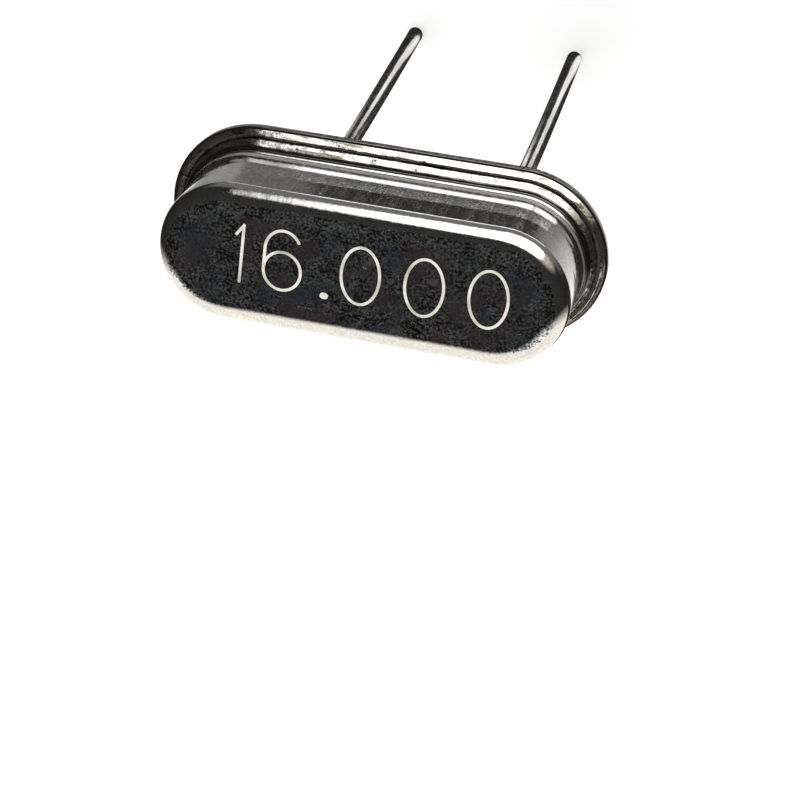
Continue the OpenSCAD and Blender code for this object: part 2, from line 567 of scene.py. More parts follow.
class Finish:
    """A material in the making: a Principled surface with Object coordinates in millimetres."""

    def __init__(self, name: str, metallic: float) -> None:
        """Starts the material.

        Args:
            name: Name of the material.
            metallic: Constant metallic value.
        """
        self.material = bpy.data.materials.new(name)
        self.tree = emptied(self.material)
        self.surface = self.tree.add("ShaderNodeBsdfPrincipled", {"Metallic": metallic})
        self.tree.add("ShaderNodeOutputMaterial", {0: self.surface.outputs[0]})
        place = self.tree.add("ShaderNodeTexCoord").outputs["Object"]
        scale = (1 / MM, 1 / MM, 1 / MM)
        self.place = self.tree.add("ShaderNodeMapping", {"Vector": place, "Scale": scale}).outputs[0]
        self.axes = self.tree.add("ShaderNodeSeparateXYZ", {0: self.place}).outputs

    def effect(self, group: bpy.types.NodeTree, **values: object) -> bpy.types.NodeOutputs:
        """A shared effect on the piece's coordinates.

        Args:
            group: Group of the effect.
            values: Value or socket per named input.

        Returns:
            The effect's outputs, by name.
        """
        feeds = {"Vector": self.place, **{k.capitalize(): v for k, v in values.items()}}
        return self.tree.add("ShaderNodeGroup", feeds, node_tree=group).outputs

    def feed(self, **sockets: object) -> None:
        """Feeds sockets of the surface.

        Args:
            sockets: Value or socket per input, named with underscores for spaces.
        """
        for key, value in sockets.items():
            label = "IOR" if key == "ior" else key.replace("_", " ").title()
            self.tree.feed(self.surface.inputs[label], value)

    def finished(self, **sockets: object) -> bpy.types.Material:
        """Feeds the last sockets of the surface and gives the material.

        Args:
            sockets: As for feed.

        Returns:
            The finished material.
        """
        self.feed(**sockets)
        return self.material

    def rough_by(self, height: object, first: float, last: float) -> bpy.types.NodeSocket:
        """Roughness from first to last while a height passes the middle of its range."""
        return self.tree.spread(height, 0.3, 0.7, first, last)

    def raise_by(self, height: bpy.types.NodeSocket, microns: float, under: object = None) -> object:
        """Bump of a height that ranges over 0 to 1.

        Args:
            height: Height socket.
            microns: Height in thousandths of a millimetre at 1.
            under: Normal that the bump adds to.

        Returns:
            Socket of the new normal.
        """
        feeds = {"Height": height, "Distance": microns * 1e-6, "Strength": 1.0}
        if under is not None:
            feeds["Normal"] = under
        return self.tree.add("ShaderNodeBump", feeds).outputs[0]


# ---------------------------------------------------------------- finishes


@dataclass(frozen=True)
class WeldWear:
    """What the welding dies leave where they press: dark nicks, long scuffs, an uneven face."""

    share: float
    # dark colour of the die nicks, also laid as painted shade in the crease at the can's foot and on
    # the base's side
    grime_and_shade: Colour = (0.05, 0.048, 0.045)
    scuffed: Colour = (0.17, 0.155, 0.12)
    scuff_edges: Pair = (0.56, 0.62)
    strength: float = 0.9
    depth: float = 18.0

    def colour(self, make: Finish, where: object, under: object) -> bpy.types.NodeSocket:
        """Lays nicks and scuffs on a colour.

        Args:
            make: The finish in the making.
            where: Mask of the pressed area.
            under: Colour that they lie on.

        Returns:
            The worn colour.
        """
        tree = make.tree
        nicks = make.effect(EFFECTS.specks, scale=5.0, size=0.26, share=self.share)
        nick = tree.times(nicks["Mask"], where)
        colour = tree.lay(nick, self.strength, under, self.grime_and_shade)
        scuff = make.effect(EFFECTS.strokes, stretch=(0.10, 1.0, 1.0), scale=5.0)
        worn = tree.times(tree.spread(scuff["Height"], *self.scuff_edges), where)
        return tree.lay(worn, self.strength, colour, self.scuffed)

    def normal(self, make: Finish, where: object, under: object) -> bpy.types.NodeSocket:
        """Adds the pressed face's unevenness, depth in thousandths of a millimetre, to a normal.

        Args:
            make: The finish in the making.
            where: Mask of the pressed area.
            under: Normal that the bump adds to.

        Returns:
            The new normal.
        """
        uneven = make.effect(EFFECTS.strokes, stretch=(0.35, 1.0, 1.0), scale=4.0)
        press = make.tree.minus(uneven["Height"], 0.5)
        return make.raise_by(make.tree.times(press, where), self.depth, under)


@dataclass(frozen=True)
class NickelPlate:
    """Bright nickel over drawn steel: fine grain, draw lines on the wall, a rougher weld flange."""

    light: Colour = (0.68, 0.665, 0.63)
    dark: Colour = (0.48, 0.48, 0.47)
    top_light: Colour = (0.96, 0.99, 1.0)
    top_shade: float = 0.16
    cool: Colour = (0.26, 0.42, 0.46)
    warm: Colour = (0.50, 0.38, 0.42)
    polish: float = 0.06
    wear: WeldWear = WeldWear(share=0.50)
    flange_top: float = 0.655
    wall_top: Pair = (2.9, 2.6)
    haze_band: tuple[float, ...] = (0.85, 0.88, 1.00, 1.06)
    top_face: Pair = (3.343, 3.23)
    front_to_back: Pair = (-1.25, -0.4)
    mottle_shares: Pair = (0.72, 0.28)
    top_levels: Pair = (0.25, 0.80)
    tinge: Pair = (0.10, 0.75)
    foot_shade_band: tuple[float, ...] = (-0.04, -0.03, 0.04, 0.07)
    grain_height: Pair = (2.50, 2.75)
    grain_depth: Pair = (-1.3, -0.7)
    grain_least: float = 0.35
    grain_flange: float = 2.4

    def material(self) -> bpy.types.Material:
        """Builds the can's material.

        Returns:
            The material.
        """
        make = Finish("nickel_plate", 1.0)
        tree = make.tree
        grain = make.effect(EFFECTS.mottle, scale=15.0, detail=2.0, low=0.34, high=0.66)
        cloud = make.effect(EFFECTS.mottle, scale=2.4, detail=2.5, low=0.38, high=0.66)
        lines = make.effect(EFFECTS.strokes, stretch=(1.0, 1.0, 0.05), scale=14.0)
        depth, height = make.axes[1:3]
        flange = tree.spread(height, self.flange_top + 0.02, self.flange_top - 0.02)
        wall = tree.times(tree.spread(height, *self.wall_top), tree.minus(1.0, flange))
        # the worn top reaches further down the shoulder at the back than at the front
        edge = tree.spread(depth, *self.front_to_back, *self.top_face)
        face = tree.spread(height, edge, tree.plus(edge, 0.015))
        colour = self.colour(make, grain, cloud, flange, face)
        rough = self.roughness(make, grain, lines, flange, wall, face)
        # the grain is shallow on the wall and the front, and deep on the flange
        quiet = tree.spread(height, *self.grain_height, self.grain_least, 1.0)
        quiet = tree.times(quiet, tree.spread(depth, *self.grain_depth, self.grain_least, 1.0))
        quiet = tree.add_share(quiet, flange, share=self.grain_flange)
        normal = make.raise_by(tree.times(grain["Height"], quiet), microns=0.6)
        normal = make.raise_by(tree.times(cloud["Height"], quiet), microns=2.6, under=normal)
        normal = make.raise_by(tree.times(lines["Height"], wall), microns=0.4, under=normal)
        normal = self.wear.normal(make, where=flange, under=normal)
        return make.finished(base_color=colour, roughness=rough, normal=normal)

    def colour(
        self, make: Finish, grain: bpy.types.NodeOutputs, cloud: bpy.types.NodeOutputs,
        flange: bpy.types.NodeSocket, face: bpy.types.NodeSocket,
    ) -> bpy.types.NodeSocket:
        """Two greys by grain and cloud, further apart and faintly tinged on the top face, and
        painted shade in the crease at the wall's foot.

        Args:
            make: The finish in the making.
            grain: Outputs of the fine mottle.
            cloud: Outputs of the broad mottle.
            flange: Mask of the flange.
            face: Mask of the top face.

        Returns:
            The colour's socket.
        """
        tree, height, top = make.tree, make.axes[2], self.flange_top
        edge, (fine, broad), low = self.top_face[0], self.mottle_shares, self.top_levels
        tint = make.effect(EFFECTS.mottle, scale=0.9, detail=3.0, low=0.50, high=0.66)
        blush = make.effect(EFFECTS.mottle, scale=1.3, detail=3.0, low=0.50, high=0.36)
        deep = tree.blend(face, self.dark, tuple(self.top_shade * c for c in self.dark))
        high = tree.blend(face, self.light, self.top_light)
        level = tree.times(grain["Mask"], fine)
        level = tree.math("MULTIPLY_ADD", cloud["Mask"], broad, level)
        level = tree.spread(level, tree.spread(face, 0.0, 1.0, 0.0, low[0]),
                            tree.spread(face, 0.0, 1.0, 1.0, low[1]))
        colour = tree.blend(level, deep, high)
        tinge = tree.spread(height, edge, edge + 0.005, *self.tinge)
        colour = tree.lay(tint["Mask"], tinge, colour, self.cool)
        colour = tree.lay(blush["Mask"], tinge, colour, self.warm)
        # painted shade: the crease where the wall meets the flange is darkened in colour
        foot = tree.band(height, *(top + step for step in self.foot_shade_band))
        colour = tree.lay(foot, share=0.8, under=colour, top=self.wear.grime_and_shade)
        return self.wear.colour(make, where=flange, under=colour)

    def roughness(
        self, make: Finish, grain: bpy.types.NodeOutputs, lines: bpy.types.NodeOutputs,
        flange: bpy.types.NodeSocket, wall: bpy.types.NodeSocket, face: bpy.types.NodeSocket,
    ) -> bpy.types.NodeSocket:
        """Roughness: grain, dull dots, the flange, a hazy band over it, draw lines and scores.

        Args:
            make: The finish in the making.
            grain: Outputs of the fine mottle.
            lines: Outputs of the draw lines.
            flange: Mask of the flange.
            wall: Mask of the wall.
            face: Mask of the top face.

        Returns:
            The roughness's socket.
        """
        tree = make.tree
        dots = make.effect(EFFECTS.specks, scale=3.2, size=0.10, share=0.16)
        scratch = make.effect(EFFECTS.strokes, stretch=(0.28, 1.5, 1.0), scale=7.0)
        rough = make.rough_by(grain["Height"], self.polish - 0.03, self.polish + 0.06)
        rough = tree.add_share(rough, dots["Mask"], share=0.30)
        rough = tree.add_share(rough, flange, share=0.08)
        rough = tree.add_share(rough, tree.band(make.axes[2], *self.haze_band), share=0.45)
        rough = tree.add_share(rough, tree.times(lines["Mask"], wall), share=0.04)
        score = tree.spread(scratch["Height"], 0.69, 0.74)
        return tree.add_share(rough, tree.times(score, face), share=0.25)


@dataclass(frozen=True)
class SatinPlate:
    """Satin nickel on the stamped base: soft mottling, dried flux blots on the underside."""

    light: Colour = (0.80, 0.765, 0.72)
    dark: Colour = (0.66, 0.62, 0.575)
    blot: Colour = (0.50, 0.45, 0.39)
    blots: tuple[tuple[Triple, Triple, float], ...] = (
        ((-4.05, -0.15, 0.0), (0.62, 0.30, 1.0), 0.75),
        ((3.95, 0.25, 0.0), (0.46, 0.36, 1.0), 0.55),
        ((-0.35, 1.75, 0.0), (0.70, 0.28, 1.0), 0.60))
    wear: WeldWear = WeldWear(share=0.40)
    underside: Pair = (0.06, 0.02)
    side_shade_band: tuple[float, ...] = (0.16, 0.22, 0.322, 0.330)
    rim_foot: Pair = (0.32, 0.34)

    def material(self) -> bpy.types.Material:
        """Builds the base's material.

        Returns:
            The material.
        """
        make = Finish("satin_plate", 1.0)
        tree, height = make.tree, make.axes[2]
        grain = make.effect(EFFECTS.mottle, scale=12.0, detail=3.0, low=0.34, high=0.66)
        cloud = make.effect(EFFECTS.mottle, scale=1.3, detail=4.0, low=0.38, high=0.66)
        dots = make.effect(EFFECTS.specks, scale=2.2, size=0.09, share=0.2)
        colour = tree.blend(grain["Mask"], self.dark, self.light)
        colour = tree.lay(cloud["Mask"], share=0.5, under=colour, top=self.light)
        below = tree.spread(height, *self.underside)
        make.feed(metallic=tree.spread(below, 0.0, 1.0, 1.0, 0.75))
        rough = make.rough_by(grain["Height"], first=0.10, last=0.20)
        rough = tree.add_share(rough, below, share=0.22)
        for centre, size, strength in self.blots:
            blot = make.effect(EFFECTS.stain, centre=centre, size=size, ragged=0.7)
            fill = tree.times(tree.times(blot["Mask"], 0.45), below)
            edge = tree.times(tree.times(blot["Rim"], 0.8), below)
            amount = tree.times(tree.math("MAXIMUM", fill, edge), strength)
            colour = tree.blend(amount, colour, self.blot)
            rough = tree.add_share(rough, amount, share=0.18)
        rough = tree.minus(rough, tree.times(dots["Mask"], 0.15))
        # painted shade: the base's side below the coined step is darkened in colour
        side_shade = tree.band(height, *self.side_shade_band)
        colour = tree.lay(side_shade, share=0.80, under=colour, top=self.wear.grime_and_shade)
        rim = tree.spread(height, *self.rim_foot)
        colour = self.wear.colour(make, where=rim, under=colour)
        normal = make.raise_by(grain["Height"], microns=3.0)
        normal = make.raise_by(cloud["Height"], microns=4.0, under=normal)
        normal = self.wear.normal(make, where=rim, under=normal)
        return make.finished(base_color=colour, roughness=rough, normal=normal)


@dataclass(frozen=True)
class FusedGlass:
    """Dark sealing glass with a glossy skin; each small bubble under it is painted pale, partly its
    own look and partly painted highlight.
    """

    body: Colour = (0.050, 0.046, 0.046)
    haze: Colour = (0.120, 0.112, 0.110)

    def material(self) -> bpy.types.Material:
        """Builds the seals' material.

        Returns:
            The material.
        """
        make = Finish("fused_glass", 0.0)
        tree = make.tree
        cloud = make.effect(EFFECTS.mottle, scale=4.0, detail=3.0, low=0.35, high=0.7)
        bubbles_and_glints = make.effect(EFFECTS.specks, scale=8.0, size=0.22, share=0.4)
        colour = tree.blend(cloud["Mask"], self.body, self.haze)
        # each bubble is painted pale: partly its own lighter look, partly painted highlight
        colour = tree.lay(bubbles_and_glints["Mask"], share=0.5, under=colour, top=(0.42, 0.41, 0.40))
        rough = make.rough_by(cloud["Height"], first=0.06, last=0.16)
        normal = make.raise_by(bubbles_and_glints["Mask"], microns=5.0)
        normal = make.raise_by(cloud["Height"], microns=6.0, under=normal)
        return make.finished(base_color=colour, roughness=rough, normal=normal, ior=1.52)


@dataclass(frozen=True)
class TinDip:
    """Bright tin on the wire: faint drips along it and a soft grain."""

    light: Colour = (0.76, 0.75, 0.735)
    dark: Colour = (0.52, 0.51, 0.50)

    def material(self) -> bpy.types.Material:
        """Builds the leads' material.

        Returns:
            The material.
        """
        make = Finish("tin_dip", 1.0)
        tree = make.tree
        runs = make.effect(EFFECTS.strokes, stretch=(1.0, 1.0, 0.06), scale=9.0)
        cloud = make.effect(EFFECTS.mottle, scale=2.4, detail=3.0, low=0.35, high=0.65)
        colour = tree.blend(runs["Mask"], self.dark, self.light)
        colour = tree.lay(cloud["Mask"], share=0.4, under=colour, top=self.light)
        rough = make.rough_by(cloud["Height"], first=0.16, last=0.27)
        normal = make.raise_by(runs["Height"], microns=3.0)
        normal = make.raise_by(cloud["Height"], microns=6.0, under=normal)
        return make.finished(base_color=colour, roughness=rough, normal=normal)


@dataclass(frozen=True)
class Marking:
    """Pale laser-cut lettering: a matt, slightly powdery stroke."""

    light: Colour = (0.93, 0.915, 0.815)
    dark: Colour = (0.78, 0.76, 0.64)
    faint: Colour = (0.50, 0.485, 0.375)

    def material(self) -> bpy.types.Material:
        """Builds the digits' material.

        Returns:
            The material.
        """
        make = Finish("cut_marking", 0.0)
        tree = make.tree
        grain = make.effect(EFFECTS.mottle, scale=11.0, detail=2.0, low=0.30, high=0.55)
        patch = make.effect(EFFECTS.mottle, scale=1.1, detail=3.0, low=0.36, high=0.60)
        colour = tree.blend(grain["Mask"], self.dark, self.light)
        colour = tree.blend(patch["Mask"], self.faint, colour)
        rough = make.rough_by(grain["Height"], first=0.75, last=0.55)
        normal = make.raise_by(grain["Height"], microns=2.0)
        return make.finished(base_color=colour, roughness=rough, normal=normal)


@dataclass(frozen=True)
class StampedStrip:
    """Plated spring strip with rolling lines along X."""

    light: Colour = (0.78, 0.73, 0.60)
    dark: Colour = (0.60, 0.55, 0.44)

    def material(self) -> bpy.types.Material:
        """Builds the clips' material.

        Returns:
            The material.
        """
        make = Finish("spring_strip", 1.0)
        tree = make.tree
        lines = make.effect(EFFECTS.strokes, stretch=(0.06, 1.0, 1.0), scale=16.0)
        cloud = make.effect(EFFECTS.mottle, scale=3.0, detail=3.0, low=0.35, high=0.7)
        colour = tree.blend(lines["Mask"], self.dark, self.light)
        colour = tree.lay(cloud["Mask"], share=0.3, under=colour, top=self.dark)
        rough = make.rough_by(lines["Height"], first=0.24, last=0.38)
        normal = make.raise_by(lines["Height"], microns=1.5)
        return make.finished(base_color=colour, roughness=rough, normal=normal)


@dataclass(frozen=True)
class LappedQuartz:
    """Quartz ground on both faces: a milky, finely frosted blank."""

    clear: Colour = (0.78, 0.84, 0.86)
    milky: Colour = (0.90, 0.93, 0.94)

    def material(self) -> bpy.types.Material:
        """Builds the blank's material.

        Returns:
            The material.
        """
        make = Finish("lapped_quartz", 0.0)
        tree = make.tree
        grain = make.effect(EFFECTS.mottle, scale=20.0, detail=3.0, low=0.3, high=0.7)
        colour = tree.blend(grain["Mask"], self.clear, self.milky)
        rough = make.rough_by(grain["Height"], first=0.30, last=0.48)
        normal = make.raise_by(grain["Height"], microns=2.0)
        return make.finished(base_color=colour, roughness=rough, normal=normal, ior=1.544,
                             transmission_weight=0.55)


@dataclass(frozen=True)
class SilverFilm:
    """Evaporated silver: bright, with a faint bloom from the ground quartz under it."""

    light: Colour = (0.93, 0.92, 0.90)
    bloom: Colour = (0.80, 0.79, 0.77)

    def material(self) -> bpy.types.Material:
        """Builds the films' material.

        Returns:
            The material.
        """
        make = Finish("silver_film", 1.0)
        tree = make.tree
        grain = make.effect(EFFECTS.mottle, scale=18.0, detail=2.0, low=0.35, high=0.65)
        cloud = make.effect(EFFECTS.mottle, scale=1.2, detail=3.0, low=0.40, high=0.70)
        colour = tree.blend(grain["Mask"], self.bloom, self.light)
        colour = tree.lay(cloud["Mask"], share=0.3, under=colour, top=self.bloom)
        rough = make.rough_by(grain["Height"], first=0.22, last=0.36)
        normal = make.raise_by(grain["Height"], microns=1.5)
        return make.finished(base_color=colour, roughness=rough, normal=normal)


@dataclass(frozen=True)
class SilverPaste:
    """Cured silver-filled paste: matt grey with bright flakes."""

    body: Colour = (0.58, 0.56, 0.52)
    shade: Colour = (0.42, 0.40, 0.37)

    def material(self) -> bpy.types.Material:
        """Builds the paste's material.

        Returns:
            The material.
        """
        make = Finish("silver_paste", 0.35)
        tree = make.tree
        lumps = make.effect(EFFECTS.mottle, scale=8.0, detail=4.0, low=0.35, high=0.7)
        flakes = make.effect(EFFECTS.specks, scale=22.0, size=0.35, share=0.35)
        colour = tree.blend(lumps["Mask"], self.shade, self.body)
        colour = tree.blend(flakes["Mask"], colour, (0.82, 0.81, 0.79))
        rough = tree.minus(0.62, tree.times(flakes["Mask"], 0.3))
        normal = make.raise_by(lumps["Height"], microns=12.0)
        return make.finished(base_color=colour, roughness=rough, normal=normal)


# ---------------------------------------------------------------- sub-assemblies


def node_box(node: str) -> tuple[np.ndarray, np.ndarray]:
    """Lowest and highest corner of a CAD node, in millimetres."""
    low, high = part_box(node)
    return np.array(low) / MM, np.array(high) / MM


def install(
    piece: bpy.types.Object, slot: str, material: bpy.types.Material, *nodes: str
) -> bpy.types.Object:
    """Dresses a piece, rides it on the body and notes what it stands for.

    Args:
        piece: The new piece.
        slot: The record's material slot.
        material: Its material.
        nodes: CAD nodes that it replaces.

    Returns:
        The same piece.
    """
    piece.data.materials.append(material)
    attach(piece, ROOT)
    if nodes:
        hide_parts(*nodes)
    log.info("%s: %d faces, slot %s", piece.name, len(piece.data.polygons), slot)
    return piece


@dataclass
class DrawnCan:
    """The deep-drawn cup: flat top, shoulder, wall, foot bend and the weld-pressed flange."""

    sheet: float = 0.2
    shoulder: float = 0.65
    wall_slopes: tuple[Pair, ...] = (
        (0.60, 0.0), (0.79, 0.0), (0.80, -0.62), (0.83, -0.62), (0.85, -0.040), (0.92, -0.034),
        (1.00, -0.032), (1.05, -0.040), (1.33, -0.040), (1.43, 0.0), (1.90, 0.0), (2.00, 0.030),
        (2.70, 0.030))
    witness: float = 0.012
    flange: float = 0.22
    flange_width: float = 0.155
    flange_drop: Pair = (52.0, 61.0)
    crest: float = 0.03
    step_drop: float = 12.0
    foot: float = 0.028
    lip: float = 0.018
    lip_rise: float = 0.016
    lip_start: float = -50.0
    foot_inner: float = 0.25
    dent: float = 0.0022
    top_dent: float = 0.15

    def __post_init__(self) -> None:
        """Takes the outer sizes from the CAD can."""
        low, high = node_box("can")
        self.flange_r = high[1]
        self.wall_r = high[1] - self.flange
        self.outline = SlotOutline(2 * (high[0] - high[1]))
        self.rim, self.top = low[2], high[2]

    def pressed_flange(self) -> np.ndarray:
        """Outside of the flange from its lip up to the foot bend.

        A small arc rounds the lip, a shallow one falls from the second flange_drop to the first
        over flange_width, a tight crest turns it to step_drop, and a straight step runs in.

        Returns:
            Radius and height per row, upwards.
        """
        first, last = self.flange_drop
        sine, cosine = math.sin(math.radians(first)), math.cos(math.radians(first))
        far, near = math.sin(math.radians(last)), math.cos(math.radians(last))
        hub = (self.flange_r - self.lip, self.rim + self.lip_rise)
        lip = bend(hub, self.lip, self.lip_start, 90.0 - last, 6)
        wide = self.flange_width / (far - sine)
        middle = lip[-1] - wide * np.array((far, near))
        face = bend(tuple(middle), wide, 90.0 - last, 90.0 - first, 16)
        turn = face[-1] - self.crest * np.array((sine, cosine))
        crest = bend(tuple(turn), self.crest, 90.0 - first, 90.0 - self.step_drop, 6)
        slope = math.radians(self.step_drop)
        end = self.wall_r + self.witness + self.foot * (1 - math.sin(slope))
        rise = (crest[-1, 0] - end) * math.tan(slope)
        step = straight(tuple(crest[-1]), (end, crest[-1, 1] + rise), 3)
        return join(lip, face, crest, step)

    def wall(self, foot_z: float) -> np.ndarray:
        """Outside of the wall from the foot bend up to the shoulder.

        Its radius starts at wall_r + witness and grows by the running sum of a slope that
        wall_slopes gives by height: a fine step where the welding die closed, then the drawn
        wall, which stays a hundredth or two of a millimetre inside its nominal line.

        Args:
            foot_z: Height where the wall starts.

        Returns:
            Radius and height per row.
        """
        z = np.linspace(foot_z, self.top - self.shoulder, 180)
        heights, slopes = np.array(self.wall_slopes).T
        slope = np.interp(z, heights, slopes)
        grown = np.r_[0.0, np.cumsum(0.5 * (slope[1:] + slope[:-1]) * np.diff(z))]
        return np.column_stack((self.wall_r + self.witness + grown, z))

    def section(self) -> np.ndarray:
        """Half section from the middle of the top, down the outside and back up the inside.

        Returns:
            Radius and height per row.
        """
        s, top = self.shoulder, self.top
        flange = self.pressed_flange()
        foot_z = flange[-1, 1] + self.foot * math.cos(math.radians(self.step_drop))
        hub = (self.wall_r + self.witness + self.foot, foot_z)
        bent = bend(hub, self.foot, 180.0, 270.0 - self.step_drop, 14)
        wall = self.wall(foot_z)
        middle = wall[-1, 0] - s
        inner_r, inner_s = self.wall_r - self.sheet, s - self.sheet
        return join(
            straight((0.0, top), (middle, top), 20),
            bend((middle, top - s), s, 90.0, 0.0, 44),
            wall[::-1],
            bent,
            flange[::-1],
            straight((self.flange_r - 0.03, self.rim), (inner_r + self.foot_inner, self.rim), 3),
            bend((inner_r + self.foot_inner, self.rim + self.foot_inner), self.foot_inner, 270.0,
                 180.0, 8),
            straight((inner_r, self.rim + self.foot_inner), (inner_r, top - s), 5),
            bend((inner_r - inner_s, top - s), inner_s, 0.0, 90.0, 8),
            straight((inner_r - inner_s, top - self.sheet), (0.0, top - self.sheet), 5),
        )

    def build(self, material: bpy.types.Material) -> bpy.types.Object:
        """Makes the can, with the drawn sheet's slight unevenness along its normals.

        The unevenness is dent deep on the wall, top_dent of that on the top, and fades out
        towards the rim.

        Args:
            material: Its finish.

        Returns:
            The piece.
        """
        grid = self.outline.carry(self.section())
        wave = ripple(grid, lengths=(2.6, 1.1), depth=self.dent, seed=11)
        fade = np.clip((self.top - 0.0005 - grid[..., 2]) / 0.02, self.top_dent, 1.0)
        fade = fade * np.clip((grid[..., 2] - self.rim) / 0.05, 0.0, 1.0)
        grid = grid - outward(grid) * (np.abs(wave) * fade)[..., None]
        return install(make_piece("drawn_can", [Patch(grid)]), "can", material, "can")


@dataclass
class StampedBase:
    """The base plate: flat underside, rounded rim, plateau and the two bores for the seals."""

    rim: float = 0.4
    edge: float = 0.15
    trim: float = 0.004
    step: float = 0.05
    step_drop: float = 8.0
    ledge: float = 0.24
    bevel: float = 0.100
    bevel_fall: Pair = (51.0, 61.0)
    crown: float = 0.015
    raised: float = 0.07
    land: float = 0.012
    seat: float = 0.0005
    draft: float = 0.01
    plateau_r: float = 1.525
    plateau_edge: float = 0.15
    bore_r: float = 0.82
    pitch: float = 4.88
    wave_foot: float = 0.32
    rim_wave: float = 0.004
    face_wave: float = 0.0025
    split_steps: int = 30
    face_steps: int = 18

    def __post_init__(self) -> None:
        """Takes the outer sizes from the CAD base."""
        low, high = node_box("base")
        self.rim_r = high[1]
        self.outline = SlotOutline(2 * (high[0] - high[1]))
        self.floor, self.plateau = low[2], high[2]

    def section(self) -> np.ndarray:
        """Half section from the underside's edge, round the rim and up to the plateau's top.

        The side ends in a narrow coined step, and a nearly straight bevel rises from it to a rim
        that stands raised above the seat of the flange.

        Returns:
            Radius and height per row.
        """
        r, e, t = self.rim_r, self.edge, self.trim
        pr, pe = self.plateau_r, self.plateau_edge
        first, last = (math.radians(a) for a in self.bevel_fall)
        top, low = self.rim + self.raised, self.rim - self.seat
        wide = self.bevel / (math.sin(last) - math.sin(first))
        foot = np.array((r - t - self.step, 0.0))
        face = bend((0.0, 0.0), wide, 90.0 - self.bevel_fall[1], 90.0 - self.bevel_fall[0], 14)
        crown = bend((0.0, 0.0), self.crown, 90.0 - self.bevel_fall[0], 90.0, 5)
        face = face - face[-1] + crown[0]
        shift = np.array((foot[0] - face[0, 0], top - self.crown))
        face, crown = face + shift, crown + shift
        slope = math.radians(self.step_drop)
        edge = face[0] + self.step * np.array((1.0, -math.tan(slope)))
        turn = bend((r - t, edge[1] - t * math.cos(slope)), t, 0.0, 90.0 - self.step_drop, 5)
        inner = crown[-1, 0] - self.land
        return join(
            bend((r - e, self.floor + e), e, 270.0, 360.0, 14),
            straight((r, self.floor + e), (r, turn[0, 1]), 3),
            turn,
            straight(tuple(turn[-1]), tuple(face[0]), 3),
            face,
            crown,
            straight((crown[-1, 0], top), (inner, top), 2),
            straight((inner, top), (inner - self.draft, low), 3),
            straight((inner - self.draft, low), (r - self.ledge, low), 2),
            straight((r - self.ledge, low), (pr, low), 4),
            straight((pr, low), (pr, self.plateau - pe), 3),
            bend((pr - pe, self.plateau - pe), pe, 0.0, 90.0, 7),
        )

    def half_face(self, side: Side) -> np.ndarray:
        """Grid of one half: the underside from its edge to the bore, the bore, and the plateau.

        Each column joins a point of the half's border to the bore's point at the same angle
        about the bore's axis, so rows fade evenly from the border's shape to the circle.

        Args:
            side: Which half.

        Returns:
            Array (rows, columns, 3) in millimetres, a ring across its columns.
        """
        outer, upper = self.rim_r - self.edge, self.plateau_r - self.plateau_edge
        feet, normals = self.outline.stations()
        sign = side.value
        here = feet[:, 0] * sign > -1e-9
        low = feet[here] + outer * normals[here]
        high = feet[here] + upper * normals[here]
        bore = np.array((sign * self.pitch / 2, 0.0))
        angle = np.arctan2(low[:, 1], (low[:, 0] - bore[0]) * sign)
        rank = np.argsort(angle)
        low, high = low[rank], high[rank]
        gap = np.linspace(1.0, -1.0, self.split_steps + 1)[1:-1]
        low = np.vstack((low, np.column_stack((0.0 * gap, outer * gap))))
        high = np.vstack((high, np.column_stack((0.0 * gap, upper * gap))))
        angle = np.arctan2(low[:, 1], low[:, 0] - bore[0])
        circle = bore + self.bore_r * np.column_stack((np.cos(angle), np.sin(angle)))
        t = np.linspace(0.0, 1.0, self.face_steps + 1)[:, None, None]
        under = (1 - t) * low + t * circle
        over = (1 - t[::3]) * circle + t[::3] * high
        flat = np.concatenate((under, over))
        height = np.r_[np.full(len(under), self.floor), np.full(len(over), self.plateau)]
        return raised(flat, height)

    def build(self, material: bpy.types.Material) -> bpy.types.Object:
        """Makes the base.

        Args:
            material: Its finish.

        Returns:
            The piece.
        """
        rim = self.outline.carry(self.section())
        zone = np.clip((rim[..., 2] - self.wave_foot) / 0.05, 0.0, 1.0)
        zone = zone * np.clip((-rim[:, :1, 1] - self.rim_r + self.step + self.bevel) / 0.02, 0, 1)
        wave = np.abs(ripple(rim, lengths=(1.1, 0.4), depth=self.rim_wave, seed=5))
        rim = rim - outward(rim) * (wave * zone)[..., None]
        halves = []
        for side in Side:
            half = self.half_face(side)
            face = half[: self.face_steps + 1]
            fade = np.sin(np.linspace(0.0, math.pi, len(face)))[:, None]
            wave = np.abs(ripple(face, lengths=(2.2, 0.9), depth=self.face_wave, seed=7))
            face[..., 2] += wave * fade
            halves.append(Patch(half))
        piece = make_piece("stamped_base", [Patch(rim), *halves])
        return install(piece, "base", material, "base")


